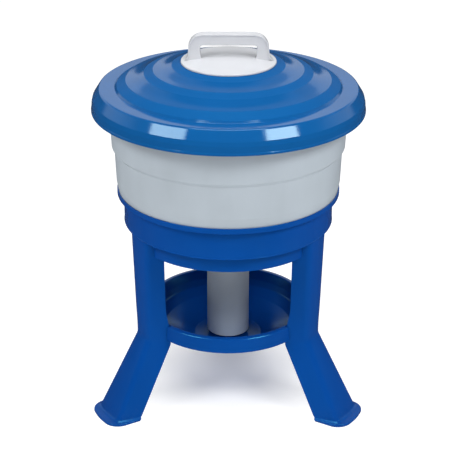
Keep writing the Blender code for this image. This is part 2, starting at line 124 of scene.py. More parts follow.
def softened(outline, closed=True, steps=5, limit=0.45):
    """An outline of (x, y, fillet) corners as plain points, with every filleted corner made an arc."""
    corners = [Vector(point[:2]) for point in outline]
    fillets = [point[2] if len(point) > 2 else 0.0 for point in outline]
    count = len(corners)
    points = []
    for i, corner in enumerate(corners):
        if fillets[i] == 0.0 or (not closed and i in (0, count - 1)):
            points.append(corner)
            continue
        after = corners[(i + 1) % count]
        points += corner_arc(corners[i - 1], corner, after, fillets[i], steps, limit)
    return points


def on_circle(radius, degrees):
    turn = math.radians(degrees)
    return radius * math.cos(turn), radius * math.sin(turn)


def finish_mesh(bm, name):
    bmesh.ops.recalc_face_normals(bm, faces=bm.faces)
    mesh = bpy.data.meshes.new(name)
    bm.to_mesh(mesh)
    bm.free()
    return mesh


def without_doubles(points):
    """The points of an outline, less each that falls on the one before it."""
    kept = points[:1]
    for point in points[1:]:
        if (point - kept[-1]).length > MERGE_DISTANCE:
            kept.append(point)
    return kept


def turned_mesh(name, outline, steps=TURN_STEPS):
    """An outline in millimetres turned about the feeder's axis. It is closed unless it ends on the axis.

    The rings are set out one by one, since Blender's own spin gives its vertices in another order each run.
    """
    on_axis = outline[0][0] == 0 and outline[-1][0] == 0
    bm = bmesh.new()
    rings = []
    for point in without_doubles(softened(outline, closed=not on_axis)):
        if point.x < MERGE_DISTANCE:
            rings.append([bm.verts.new((0, 0, point.y * MM))] * steps)
            continue
        places = [on_circle(point.x * MM, 360 * i / steps) for i in range(steps)]
        rings.append([bm.verts.new((x, y, point.y * MM)) for x, y in places])
    if not on_axis:
        rings.append(rings[0])
    for low, high in zip(rings, rings[1:]):
        for i in range(steps):
            j = (i + 1) % steps
            corners = dict.fromkeys((low[i], low[j], high[j], high[i]))     # three at the axis
            bm.faces.new(tuple(corners))
    return finish_mesh(bm, name)


def disc_mesh(name, radius, low, high, centre=(0.0, 0.0), steps=HOLE_STEPS):
    """An upright cylinder in millimetres, as a boss or as a cutter."""
    bm = bmesh.new()
    at = Matrix.Translation(Vector((centre[0], centre[1], (low + high) / 2)) * MM)
    bmesh.ops.create_cone(bm, cap_ends=True, segments=steps, radius1=radius * MM, radius2=radius * MM,
                          depth=(high - low) * MM, matrix=at)
    return finish_mesh(bm, name)


def box_mesh(name, low, high):
    bm = bmesh.new()
    low = Vector(low) * MM
    high = Vector(high) * MM
    bmesh.ops.create_cube(bm, size=1, matrix=Matrix.Translation((high + low) / 2)
                          @ Matrix.Diagonal((*(high - low), 1)))
    return finish_mesh(bm, name)


def skinned_mesh(name, rings):
    """A closed skin over loops of points in millimetres, capped at both ends."""
    bm = bmesh.new()
    loops = [[bm.verts.new(Vector(point) * MM) for point in ring] for ring in rings]
    for low, high in zip(loops, loops[1:]):
        count = len(low)
        for i in range(count):
            j = (i + 1) % count
            bm.faces.new((low[i], low[j], high[j], high[i]))
    bm.faces.new(loops[0][::-1])
    bm.faces.new(loops[-1])
    return finish_mesh(bm, name)


def inset(points, amount):
    """A convex plan outline drawn in by an amount along its own normals."""
    count = len(points)
    centre = sum(points, Vector((0, 0))) / count
    drawn = []
    for i, point in enumerate(points):
        along = (points[(i + 1) % count] - points[i - 1]).normalized()
        inwards = Vector((along.y, -along.x))
        if inwards.dot(centre - point) < 0:
            inwards = -inwards
        drawn.append(point + inwards * amount)
    return drawn


def slab_mesh(name, points, low, high, edge):
    """A plan outline made solid between two heights, with its edges rounded."""
    levels = []
    for turn in SOLE_EDGE_TURNS:
        angle = math.radians(turn)
        levels.append((edge * (1 - math.sin(angle)), edge * (1 - math.cos(angle))))
    rings = [[(p.x, p.y, low + up) for p in inset(points, drawn)] for drawn, up in levels]
    rings += [[(p.x, p.y, high - up) for p in inset(points, drawn)] for drawn, up in levels[::-1]]
    return skinned_mesh(name, rings)


def combine(base, others, operation):
    """The base mesh with the others joined to it or cut from it."""
    result = base
    for other in others:
        body = bpy.data.objects.new("boolean_body", result)
        tool = bpy.data.objects.new("boolean_tool", other)
        for helper in (body, tool):
            bpy.context.scene.collection.objects.link(helper)
        step = body.modifiers.new("combine", "BOOLEAN")
        step.operation = operation
        step.solver = "EXACT"
        step.object = tool
        bpy.context.view_layer.update()
        graph = bpy.context.evaluated_depsgraph_get()
        result = bpy.data.meshes.new_from_object(body.evaluated_get(graph))
        result.name = base.name
        for helper in (body, tool):
            bpy.data.objects.remove(helper, do_unlink=True)
    return result


def turned_about_z(mesh, degrees):
    copy = mesh.copy()
    copy.transform(Matrix.Rotation(math.radians(degrees), 4, "Z"))
    return copy


def show(name, mesh, material, body, node, crease=38.0):
    """Sets a mesh on the feeder's axis as a piece that stands for one CAD node."""
    mesh.transform(Matrix.Translation(AXIS))
    mesh.materials.clear()
    mesh.materials.append(material)
    mesh.shade_smooth()
    mesh.set_sharp_from_angle(angle=math.radians(crease))
    piece = bpy.data.objects.new(name, mesh)
    bpy.context.scene.collection.objects.link(piece)
    normals = piece.modifiers.new("even_normals", "WEIGHTED_NORMAL")
    normals.keep_sharp = True
    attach(piece, body)
    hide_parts(node)
    return piece


# ---- materials ------------------------------------------------------------------------------------
class Surface:
    """A Principled material under construction, with short calls for the nodes that it uses."""

    def __init__(self, name):
        self.material = bpy.data.materials.new(name)
        self.material.use_nodes = True
        self.tree = self.material.node_tree
        self.shader = self.tree.nodes["Principled BSDF"]
        self.place = self.add("ShaderNodeTexCoord").outputs["Object"]

    def add(self, kind, **settings):
        node = self.tree.nodes.new(kind)
        for key, value in settings.items():
            setattr(node, key, value)
        return node

    def link(self, start, end):
        self.tree.links.new(start, end)

    def stretched(self, scale):
        node = self.add("ShaderNodeMapping")
        node.inputs["Scale"].default_value = scale
        self.link(self.place, node.inputs["Vector"])
        return node.outputs["Vector"]

    def noise(self, scale, detail=2.0, roughness=0.5, vector=None):
        node = self.add("ShaderNodeTexNoise")
        node.inputs["Scale"].default_value = scale
        node.inputs["Detail"].default_value = detail
        node.inputs["Roughness"].default_value = roughness
        self.link(vector or self.place, node.inputs["Vector"])
        return node.outputs["Fac"]

    def ranged(self, value, low, high, to_low, to_high):
        node = self.add("ShaderNodeMapRange", clamp=True)
        for key, number in (("From Min", low), ("From Max", high), ("To Min", to_low), ("To Max", to_high)):
            node.inputs[key].default_value = number
        self.link(value, node.inputs["Value"])
        return node.outputs["Result"]

    def maths(self, operation, first, second):
        node = self.add("ShaderNodeMath", operation=operation)
        for socket, value in zip(node.inputs, (first, second)):
            if isinstance(value, (int, float)):
                socket.default_value = value
            else:
                self.link(value, socket)
        return node.outputs["Value"]

    def mixed(self, share, first, second):
        node = self.add("ShaderNodeMix", data_type="RGBA")
        self.link(share, node.inputs["Factor"])
        for key, colour in (("A", first), ("B", second)):
            socket = [s for s in node.inputs if s.name == key and s.type == "RGBA"][0]
            if isinstance(colour, tuple):
                socket.default_value = (*colour, 1.0)
            else:
                self.link(colour, socket)
        return [s for s in node.outputs if s.type == "RGBA"][0]

    def radius_from_axis(self, behind):
        """Level distance from a line a little behind the feeder's axis."""
        centred = self.add("ShaderNodeVectorMath", operation="SUBTRACT")
        self.link(self.place, centred.inputs[0])
        centred.inputs[1].default_value = AXIS + Vector((0, behind, 0))
        flat = self.add("ShaderNodeVectorMath", operation="MULTIPLY")
        self.link(centred.outputs["Vector"], flat.inputs[0])
        flat.inputs[1].default_value = (1.0, 1.0, 0.0)
        length = self.add("ShaderNodeVectorMath", operation="LENGTH")
        self.link(flat.outputs["Vector"], length.inputs[0])
        return length.outputs["Value"]

    def bump(self, height, distance, strength, below=None):
        node = self.add("ShaderNodeBump")
        node.inputs["Distance"].default_value = distance
        node.inputs["Strength"].default_value = strength
        self.link(height, node.inputs["Height"])
        if below is not None:
            self.link(below, node.inputs["Normal"])
        return node.outputs["Normal"]

    def set(self, **constants):
        for key, value in constants.items():
            self.shader.inputs[key.replace("_", " ")].default_value = value


FLOW_STREAKS = (26.0, 26.0, 7.0)                # noise scales, stretched along the wall or along a mark
HAIR_SCALE = (900.0, 45.0, 60.0)
CROSS_HAIR_SCALE = (50.0, 800.0, 90.0)
DUST_TOP = 0.035
DUST_COLOUR = (0.30, 0.29, 0.27)
ZINC_BLUISH = (0.55, 0.58, 0.63)
ZINC_YELLOWISH = (0.70, 0.68, 0.60)


def shade_of(colour, factor):
    return tuple(min(channel * factor, 1.0) for channel in colour)


def moulded_plastic(name, colour, roughness, tint=(1.0, 1.0, 1.0), specular=0.5,
                    grain=0.10, wave=0.05, scuffs=0.12, dust=0.0):
    """Injection-moulded plastic: faint flow clouds, fine grain, sink ripples, hairline handling marks."""
    surface = Surface(name)
    clouds = surface.noise(7.0, detail=4.0, roughness=0.55)
    streaks = surface.noise(1.0, detail=3.0, vector=surface.stretched(FLOW_STREAKS))
    tone = surface.maths("ADD", surface.maths("MULTIPLY", clouds, 0.6),
                         surface.maths("MULTIPLY", streaks, 0.4))
    cloud = surface.ranged(tone, 0.34, 0.66, 0.0, 1.0)
    body = surface.mixed(cloud, shade_of(colour, 0.95), shade_of(colour, 1.05))
    hair = surface.noise(1.0, detail=2.0, roughness=0.7, vector=surface.stretched(HAIR_SCALE))
    cross_hair = surface.noise(1.0, detail=2.0, roughness=0.7, vector=surface.stretched(CROSS_HAIR_SCALE))
    marks = surface.maths("MAXIMUM", surface.ranged(hair, 0.66, 0.80, 0.0, 1.0),
                          surface.ranged(cross_hair, 0.67, 0.81, 0.0, 1.0))
    patches = surface.ranged(surface.noise(11.0, detail=2.0), 0.48, 0.68, 0.0, 1.0)
    worn = surface.maths("MULTIPLY", marks, patches)
    if dust > 0:
        height = surface.add("ShaderNodeSeparateXYZ")
        surface.link(surface.place, height.inputs["Vector"])
        low_down = surface.ranged(height.outputs["Z"], 0.0, DUST_TOP, dust, 0.0)
        speckle = surface.ranged(surface.noise(240.0, detail=4.0), 0.42, 0.66, 0.0, 1.0)
        body = surface.mixed(surface.maths("MULTIPLY", low_down, speckle), body, DUST_COLOUR)
    surface.link(surface.mixed(surface.maths("MULTIPLY", worn, 0.10), body, shade_of(colour, 1.6)),
                 surface.shader.inputs["Base Color"])

    uneven = surface.ranged(surface.noise(38.0, detail=5.0, roughness=0.6), 0.3, 0.7,
                            roughness - 0.035, roughness + 0.045)
    rough = surface.maths("ADD", uneven, surface.maths("MULTIPLY", worn, scuffs))
    surface.link(rough, surface.shader.inputs["Roughness"])

    ripples = surface.bump(surface.noise(16.0, detail=1.0), 0.002, wave)
    grains = surface.bump(surface.noise(1500.0, detail=2.0), 0.0002, grain, below=ripples)
    surface.link(surface.bump(worn, 0.0001, 0.2, below=grains), surface.shader.inputs["Normal"])
    surface.set(Metallic=0.0, IOR=1.5, Specular_IOR_Level=specular, Specular_Tint=(*tint, 1.0))
    return surface.material


def zinc_steel():
    """Bright zinc plating: a fine grain, small stains and a faint blue-yellow passivation."""
    surface = Surface("zinc_plated_steel")
    stains = surface.noise(260.0, detail=4.0)
    stained = surface.ranged(stains, 0.35, 0.65, 0.0, 1.0)
    surface.link(surface.mixed(stained, ZINC_BLUISH, ZINC_YELLOWISH), surface.shader.inputs["Base Color"])
    surface.link(surface.ranged(surface.noise(900.0, detail=3.0), 0.3, 0.7, 0.22, 0.42),
                 surface.shader.inputs["Roughness"])
    tool_marks = surface.noise(2600.0, detail=2.0)
    surface.link(surface.bump(tool_marks, 0.0001, 0.25), surface.shader.inputs["Normal"])
    surface.set(Metallic=1.0)
    return surface.material


BLUE_TINT = (0.15, 0.80, 1.0)                   # the pigment under a glossy skin colours its weak reflections
LID_PIGMENT = (0.0040, 0.086, 0.278)
LID_BLUE = moulded_plastic("lid_gloss_blue", LID_PIGMENT, 0.06, tint=(0.65, 0.93, 1.0), wave=0.03)
LID_SATIN = moulded_plastic("lid_satin_blue", LID_PIGMENT, 0.50, tint=BLUE_TINT, specular=0.12)
LID_SATIN_RINGS = ((DISC_RADIUS, 86.2), (114.9, 128.5), (156.5, 171.5))     # inner and outer radii
FACES_UP = 0.3                                  # least upward share of the normal on the lid's top
BASE_BLUE = moulded_plastic("base_gloss_blue", (0.0022, 0.062, 0.315), 0.17, tint=BLUE_TINT,
                            grain=0.14, dust=0.02)
GREY = moulded_plastic("grey_satin_plastic", (0.438, 0.496, 0.548), 0.42, grain=0.22, wave=0.07)
WHITE = moulded_plastic("white_satin_plastic", (0.560, 0.572, 0.602), 0.32, grain=0.16)
ZINC = zinc_steel()


# ---- lid ------------------------------------------------------------------------------------------
HANDLE_SCREW_CIRCLE = 50.0
HANDLE_SCREW_ANGLES = (45.0, 135.0, 225.0, 315.0)
SCREW_HOLE = 2.2
PILOT_HOLE = 2.0


def lid_mesh():
    """Domed lid in three shallow steps with a flat rim, a sloping shoulder and a beaded skirt."""
    edge = LID_RADIUS
    outer = [
        (0.0, LID_PLATE), (73.2, LID_PLATE, 2.0), (86.4, 552.4, 3.0), (100.6, 547.9, 200.0),
        (114.7, 546.3, 3.0), (128.7, 540.8, 3.0), (142.4, 534.8, 200.0), (156.3, 532.0, 3.0),
        (170.1, 523.7, 4.0), (173.6, 519.9, 1.6), (176.4, 520.1, 2.4), (197.3, 520.4, 4.5),
        (207.1, 504.9, 2.0), (208.8, 498.1, 3.0), (209.3, 489.2, 0.8), (edge, 487.9, 0.8),
        (edge, LID_BOTTOM, 0.7),
    ]
    inner = [
        (207.2, LID_BOTTOM, 0.6), (206.2, 498.1, 5.0), (204.4, 504.2, 6.0), (196.2, 517.6, 2.0),
        (176.4, 517.6, 0.8), (176.4, 509.5, 0.8), (174.0, 509.5, 0.8), (174.0, 516.3, 1.0),
        (168.4, 521.3, 6.0), (155.4, 529.3, 4.0), (141.8, 531.9, 200.0), (127.8, 538.2, 4.0),
        (113.9, 543.6, 4.0), (100.0, 545.1, 200.0), (85.8, 549.7, 4.0), (72.6, LID_PLATE - 2.8, 2.0),
        (0.0, LID_PLATE - 2.8),
    ]
    holes = []
    for angle in HANDLE_SCREW_ANGLES:
        holes.append(disc_mesh("hole", SCREW_HOLE, 550, 562, on_circle(HANDLE_SCREW_CIRCLE, angle)))
    return combine(turned_mesh("lid_dome", outer + inner), holes, "DIFFERENCE")


def satin_rings(lid):
    """The narrow steep rings of the lid's top have a finer texture than the wide ones between them."""
    lid.data.materials.append(LID_SATIN)
    for face in lid.data.polygons:
        radius = (face.center - AXIS).xy.length / MM
        on_ring = any(inner < radius < outer for inner, outer in LID_SATIN_RINGS)
        if face.normal.z > FACES_UP and on_ring:
            face.material_index = 1


# ---- handle ---------------------------------------------------------------------------------------
DISC_APEX = 565.6
DISC_WALL = 3.0
BRIDGE_DEPTH = 17.4
BRIDGE_FOOT = 561.0


def dome_height(radius):
    """Top of the handle's disc at a radius: a shallow spherical cap."""
    rim = LID_PLATE + DISC_WALL
    rise = DISC_APEX - rim
    sphere = (DISC_RADIUS ** 2 + rise ** 2) / (2 * rise)
    return DISC_APEX - sphere + math.sqrt(sphere ** 2 - radius ** 2)


def arch_outline(drawn=0.0):
    """Front view of the bridge's outer line, from its left foot round to its right, drawn in all round."""
    half = 60.0 - drawn
    flare = 61.6 - drawn
    crown = HANDLE_TOP - drawn
    corners = [
        (-flare - 5.0, BRIDGE_FOOT), (-flare, BRIDGE_FOOT + 5.5, 4.0), (-half, crown, 26.0 - drawn),
        (half, crown, 26.0 - drawn), (flare, BRIDGE_FOOT + 5.5, 4.0), (flare + 5.0, BRIDGE_FOOT),
    ]
    return softened(corners, closed=False, steps=12, limit=0.8)


def bridge_opening():
    """The finger opening's line, from right to left."""
    half = 43.5
    crown = HANDLE_TOP - 17.0
    corners = [
        (half - 5.0, BRIDGE_FOOT), (half - 1.5, BRIDGE_FOOT + 5.0, 5.0), (half, crown, 5.0),
        (-half, crown, 5.0), (-half + 1.5, BRIDGE_FOOT + 5.0, 5.0), (-half + 5.0, BRIDGE_FOOT),
    ]
    return softened(corners, closed=False, steps=6)


def upright_prism(name, outline, depth, edge):
    """An outline in the X-Z plane made solid across Y, with its long edges rounded."""
    bm = bmesh.new()
    face = bm.faces.new([bm.verts.new((p.x * MM, -depth / 2 * MM, p.y * MM)) for p in outline])
    swept = bmesh.ops.extrude_face_region(bm, geom=[face])
    moved = [item for item in swept["geom"] if isinstance(item, bmesh.types.BMVert)]
    bmesh.ops.translate(bm, verts=moved, vec=(0, depth * MM, 0))
    rims = [e for e in bm.edges if abs(abs(e.verts[0].co.y) - depth / 2 * MM) < 1e-7
            and abs(e.verts[0].co.y - e.verts[1].co.y) < 1e-7]
    bmesh.ops.bevel(bm, geom=rims, offset=edge * MM, segments=4, profile=0.5, affect="EDGES",
                    clamp_overlap=True)
    return finish_mesh(bm, name)


def handle_mesh():
    """White disc and bridge in one moulding. A thin lip runs along both edges of the bridge's outer line."""
    low = LID_PLATE + 0.3
    steps = 12
    outer = [(DISC_RADIUS * i / steps, dome_height(DISC_RADIUS * i / steps)) for i in range(steps)]
    outer += [(DISC_RADIUS, dome_height(DISC_RADIUS), 1.4), (DISC_RADIUS, low, 0.4)]
    inside = DISC_RADIUS - DISC_WALL
    inner = [(inside * i / steps, dome_height(inside * i / steps) - DISC_WALL) for i in range(steps)]
    inner.append((inside - 4.0, low))
    disc = turned_mesh("handle_disc", outer + inner[::-1], SMALL_STEPS)

    body = upright_prism("bridge", arch_outline(0.5) + bridge_opening(), BRIDGE_DEPTH - 2.0, 1.6)
    lip = upright_prism("lip", arch_outline() + arch_outline(2.0)[::-1], BRIDGE_DEPTH, 0.5)
    bosses = []
    pilots = []
    for angle in HANDLE_SCREW_ANGLES:
        centre = on_circle(HANDLE_SCREW_CIRCLE, angle)
        boss_top = dome_height(HANDLE_SCREW_CIRCLE) - 1.0
        bosses.append(disc_mesh("boss", 4.5, low + 0.2, boss_top, centre))
        pilots.append(disc_mesh("pilot", PILOT_HOLE, low - 5, boss_top - 0.8, centre))
    bridge = combine(body, [lip], "UNION")
    return combine(combine(disc, [bridge] + bosses, "UNION"), pilots, "DIFFERENCE")


# ---- screws ---------------------------------------------------------------------------------------
def screw_mesh(name, length):
    """Pan-head self-tapping screw with a cross recess, seated at height 0, its shank hanging down."""
    thread = []
    pitch = 1.3
    turns = int((length - 3.0) / pitch)
    for i in range(turns):
        crest = -1.0 - pitch * i
        thread += [(1.35, crest + 0.3), (1.95, crest - 0.15), (1.35, crest - 0.6)]
    head = [(0.0, 2.5), (1.6, 2.4, 3.0), (3.2, 1.9, 3.0), (3.8, 0.9, 0.8), (3.8, 0.0, 0.2), (1.35, 0.0, 0.2)]
    outline = head + thread + [(1.3, -length + 2.0), (0.0, -length)]
    body = turned_mesh(name, outline, SCREW_STEPS)
    cross = [box_mesh("slot", (-1.9, -0.35, 1.2), (1.9, 0.35, 3.0)),
             box_mesh("slot", (-0.35, -1.9, 1.2), (0.35, 1.9, 3.0))]
    return combine(body, cross, "DIFFERENCE")


# ---- hopper ---------------------------------------------------------------------------------------
def hopper_mesh():
    """Open drum with a rolled top rim, a soft shoulder and one step in its wall."""
    shelf = SHELF_TOP + 0.3
    outer = [
        (177.8, HOPPER_TOP, 0.8), (183.6, HOPPER_TOP, 1.5), (184.4, 515.6, 1.0), (184.4, 512.7, 1.0),
        (182.4, 510.7, 1.5), (181.6, 453.9, 12.0), (180.6, 429.2, 1.2), (176.6, 423.8, 1.2),
        (176.3, 420.0, 3.0), (174.6, COLLAR_TOP + 15.0, 20.0), (171.5, COLLAR_TOP - 1.0, 2.0),
        (171.3, shelf, 0.6),
    ]
    inner = [
        (168.5, shelf, 0.6), (168.7, 357.0, 2.0), (171.9, 424.0, 3.0), (175.4, 430.9, 3.0),
        (177.1, 454.0, 10.0),
    ]
    return turned_mesh("hopper_drum", outer + inner)


# ---- base -----------------------------------------------------------------------------------------
LEG_SCREW_RADIUS = 154.3
LEG_SCREW_SPREAD = 13.0
TENON_HALF = 20.0
TENON_ROOM = 0.6
RIB_WALL = 2.2
RING_NOTCH_HALF = 28.8


def base_mesh():
    """Collar that seats the hopper, outer band and inner ring that grip the legs, funnel and spout."""
    band_inside = BAND_RADIUS - 2.4
    ring_inside = RING_RADIUS - 2.5
    spout_radius = 30.6
    spout_inside = spout_radius - 2.2
    funnel_foot = 253.0
    outline = [
        (COLLAR_RADIUS - 2.2, COLLAR_TOP, 0.5), (COLLAR_RADIUS - 0.5, COLLAR_TOP, 0.9),
        (COLLAR_RADIUS, COLLAR_TOP - 1.2, 0.6), (COLLAR_RADIUS, SHELF_BOTTOM + 1.2, 1.2),
        (COLLAR_RADIUS - 1.4, SHELF_BOTTOM, 0.8), (BAND_RADIUS, SHELF_BOTTOM, 1.5),
        (BAND_RADIUS, BAND_BOTTOM + 2.0, 0.5), (BAND_RADIUS + 0.6, BAND_BOTTOM + 1.0, 0.5),
        (BAND_RADIUS, BAND_BOTTOM, 0.5), (band_inside, BAND_BOTTOM, 0.4), (band_inside, SHELF_BOTTOM, 1.0),
        (RING_RADIUS, SHELF_BOTTOM, 1.0), (RING_RADIUS, RING_BOTTOM, 0.6), (ring_inside, RING_BOTTOM, 0.6),
        (ring_inside, SHELF_BOTTOM - 1.6, 1.0), (spout_radius, funnel_foot - 2.0, 3.0),
        (spout_radius, SPOUT_BOTTOM, 0.6), (spout_inside, SPOUT_BOTTOM, 0.6),
        (spout_inside, funnel_foot, 4.0), (ring_inside, SHELF_TOP, 3.0),
        (COLLAR_RADIUS - 2.2, SHELF_TOP, 0.8),
    ]
    ribs = []
    holes = []
    for angle in LEG_ANGLES.values():
        for side in (-1, 1):
            near = side * (TENON_HALF + TENON_ROOM)
            far = near + side * RIB_WALL
            rib = box_mesh("rib", (147.6, min(near, far), BAND_BOTTOM + 4),
                           (162.4, max(near, far), SHELF_BOTTOM + 1))
            ribs.append(turned_about_z(rib, angle))
            hole = disc_mesh("hole", SCREW_HOLE, SHELF_BOTTOM - 3, SHELF_TOP + 3,
                             (LEG_SCREW_RADIUS, side * LEG_SCREW_SPREAD))
            holes.append(turned_about_z(hole, angle))
        notch = box_mesh("notch", (140, -RING_NOTCH_HALF, RING_BOTTOM - 1),
                         (152, RING_NOTCH_HALF, BAND_BOTTOM + 0.3))
        holes.append(turned_about_z(notch, angle))
    return combine(combine(turned_mesh("base_moulding", outline), ribs, "UNION"), holes, "DIFFERENCE")


# ---- legs -----------------------------------------------------------------------------------------
LEG_WALL = 2.8
CORNER_CUT = 7.5
KNEE_HEIGHT = 130.0                             # bend, on the leg's outer face
KNEE_SLOPE = math.tan(math.radians(15.5))
FLANGE_TOP = 4.6
FOOT_INNER = 183.5
FOOT_HALF = 41.0
FOOT_ROUND = 25.0
FOOT_BOW = 1.3
FOOT_FLARE = 3.2                                # fillet between the leg and its flange
FOOT_FLARE_TURNS = (0, 22, 45, 67, 90)
GUSSET_HEIGHT = 151.0
MIDDLE_HEIGHT = 176.0
UPPER_WEB = 238.0                               # heights and shares of the splayed run, from knee to foot
LOWER_WEBS = (0.36, 0.68)
WEB_THICK = 2.4
LEG_SHELF_TOP = 127.6
TRAY_SCREW_RADIUS = 146.0
# A leg's levels: nose, corner, half width at the nose, inner edge, half width at the edge.
LEG_TOP = (162.4, 159.4, 26.2, 131.6, 30.9)
LEG_MIDDLE = (160.3, 156.9, 22.0, 129.0, 28.6)
LEG_GUSSET = (159.6, 156.0, 20.8, 124.2, 30.6)
LEG_KNEE = (159.4, 155.9, 20.6, 122.5, 32.2)
LEG_FOOT = (225.2, 221.4, 33.4, 183.4, 39.5)


def mixed_level(first, second, share):
    return tuple(a + (b - a) * share for a, b in zip(first, second))


def leg_outside(section, grown=0.0):
    """(x, y) points round the outside of a leg's channel, from one inner edge round the nose to the other."""
    nose, corner, half_nose, edge, half_edge = section
    nose += grown
    corner += grown
    half_nose += grown
    half_edge += grown
    turn = Vector((corner, half_nose))
    end = Vector((edge, half_edge))
    on_side = turn + (end - turn).normalized() * CORNER_CUT
    across = half_nose - CORNER_CUT

    def crown(y):
        return Vector((nose - (nose - corner) * (y / half_nose) ** 2, y))

    half = [end, end.lerp(on_side, 0.35), end.lerp(on_side, 0.7)]
    start = on_side
    finish = crown(across)
    for i in range(7):
        s = i / 6
        half.append(start.lerp(turn, s).lerp(turn.lerp(finish, s), s))
    half += [crown(across * share) for share in (0.75, 0.5, 0.25)]
    mirrored = [Vector((p.x, -p.y)) for p in half]
    return half + [Vector((nose, 0))] + mirrored[::-1]


def leg_inside(section, wall):
    """The same points moved in by the wall, in the same order."""
    outer = leg_outside(section)
    centre = Vector((section[1] - 12.0, 0))
    points = []
    for i, point in enumerate(outer):
        along = (outer[min(i + 1, len(outer) - 1)] - outer[max(i - 1, 0)]).normalized()
        inwards = Vector((along.y, -along.x))
        if inwards.dot(centre - point) < 0:
            inwards = -inwards
        points.append(point + inwards * wall)
    return points


def channel(section, height, grown=0.0):
    """The channel's whole section as (x, y, z) points, each as high as `height` says for its x."""
    outer = leg_outside(section, grown)
    inner = leg_inside(section, LEG_WALL)
    loop = outer + inner[::-1]
    return [(p.x, p.y, height(p.x)) for p in loop]


def level(height):
    return lambda x: height


def knee_plane(x):
    return KNEE_HEIGHT + KNEE_SLOPE * (x - LEG_KNEE[0])


def between(first, second, share):
    return [Vector(a).lerp(Vector(b), share) for a, b in zip(first, second)]


def bent(before, bend, after, steps=5):
    """Rings that turn smoothly from one straight run into the next."""
    rings = []
    for i in range(steps + 1):
        s = i / steps
        rings.append([Vector(a).lerp(Vector(b), s).lerp(Vector(b).lerp(Vector(c), s), s)
                      for a, b, c in zip(before, bend, after)])
    return rings


def web_mesh(name, section, reach, low, high):
    """A plate across the channel, from its nose to `reach` short of its edges."""
    points = [p for p in leg_inside(section, LEG_WALL / 2) if p.x > section[3] + reach]
    rings = [[(p.x, p.y, height) for p in points] for height in (low, high)]
    return skinned_mesh(name, rings)


def foot_outline():
    """Plan of the foot flange: straight sides, round outer corners and a slightly bowed end."""
    end = FOOT_REACH - FOOT_BOW
    top = [Vector((FOOT_INNER, FOOT_HALF - 1.0))]
    for i in range(13):
        turn = math.radians(90 - 7.5 * i)
        top.append(Vector((end - FOOT_ROUND + FOOT_ROUND * math.cos(turn),
                           FOOT_HALF - FOOT_ROUND + FOOT_ROUND * math.sin(turn))))
    half = FOOT_HALF - FOOT_ROUND
    for share in (0.75, 0.5, 0.25):
        top.append(Vector((end + FOOT_BOW * (1 - share ** 2), half * share)))
    bottom = [Vector((p.x, -p.y)) for p in top[::-1]]
    return top + [Vector((FOOT_REACH, 0.0))] + bottom


def leg_mesh():
    """Leg pointing along +X: tenon, upright channel, knee, splayed channel and foot flange."""
    top = BAND_BOTTOM - 0.3
    foot = channel(LEG_FOOT, level(FLANGE_TOP - 2.0))
    knee = channel(LEG_KNEE, knee_plane)
    gusset = channel(LEG_GUSSET, level(GUSSET_HEIGHT))
    middle = channel(LEG_MIDDLE, level(MIDDLE_HEIGHT))
    head = channel(LEG_TOP, level(top))
    rings = []
    for turn in FOOT_FLARE_TURNS:
        angle = math.radians(turn)
        rise = FOOT_FLARE * math.sin(angle)
        grown = FOOT_FLARE * (1 - math.sin(angle))
        share = rise / (KNEE_HEIGHT - FLANGE_TOP)
        section = mixed_level(LEG_FOOT, LEG_KNEE, share)
        rings.append(channel(section, level(FLANGE_TOP - 0.8 + rise), grown))
    rings += [between(foot, knee, share) for share in (0.06, 0.3, 0.6)]
    rings += bent(between(foot, knee, 0.975), knee, between(knee, gusset, 0.14), 3)
    rings += bent(between(knee, gusset, 0.75), gusset, between(gusset, middle, 0.3), 3)
    rings += bent(between(gusset, middle, 0.6), middle, between(middle, head, 0.12), 3)
    rings += [between(middle, head, share) for share in (0.4, 0.7)]
    rings.append(head)
    shell = skinned_mesh("leg", rings)
    cap = web_mesh("cap", LEG_TOP, 4, top - LEG_WALL, top)
    tenon = box_mesh("tenon", (150.0, -TENON_HALF, top - 2), (158.4, TENON_HALF, SHELF_BOTTOM - 0.3))
    shelf = web_mesh("shelf", LEG_KNEE, 14, LEG_SHELF_TOP - 3, LEG_SHELF_TOP)
    flange = slab_mesh("flange", foot_outline(), 0.0, FLANGE_TOP, 1.3)
    webs = [web_mesh("upper_web", mixed_level(LEG_MIDDLE, LEG_TOP, 0.5), 8, UPPER_WEB, UPPER_WEB + WEB_THICK)]
    for share in LOWER_WEBS:
        height = KNEE_HEIGHT + (FLANGE_TOP - KNEE_HEIGHT) * share - 6
        webs.append(web_mesh("web", mixed_level(LEG_KNEE, LEG_FOOT, share), 8, height, height + WEB_THICK))
    solid = combine(shell, [cap, tenon, shelf, flange] + webs, "UNION")
    cuts = [disc_mesh("shelf_hole", SCREW_HOLE, 100, 135, (TRAY_SCREW_RADIUS, 0))]
    for side in (-1, 1):
        cuts.append(disc_mesh("pilot", PILOT_HOLE, SHELF_BOTTOM - 14, SHELF_TOP,
                              (LEG_SCREW_RADIUS, side * LEG_SCREW_SPREAD)))
    return combine(solid, cuts, "DIFFERENCE")


# ---- tray and feed tube ---------------------------------------------------------------------------
def wall_slots(low, high, room=0.4):
    """Cutters for the slots that let a leg's two side walls pass through the tray's rim."""
    corner = Vector((LEG_KNEE[1] + 4, LEG_KNEE[2]))
    edge = Vector((LEG_KNEE[3], LEG_KNEE[4]))
    along = (edge - corner).normalized()
    outwards = Vector((-along.y, along.x))
    if outwards.y < 0:
        outwards = -outwards
    outer = outwards * room
    inner = -outwards * (LEG_WALL + 1.6 + room)
    slots = []
    for side in (1, -1):
        plan = [corner + outer, edge + outer, edge + inner, corner + inner]
        rings = [[(p.x, side * p.y, height) for p in plan] for height in (low, high)]
        slots.append(skinned_mesh("slot", rings))
    return slots


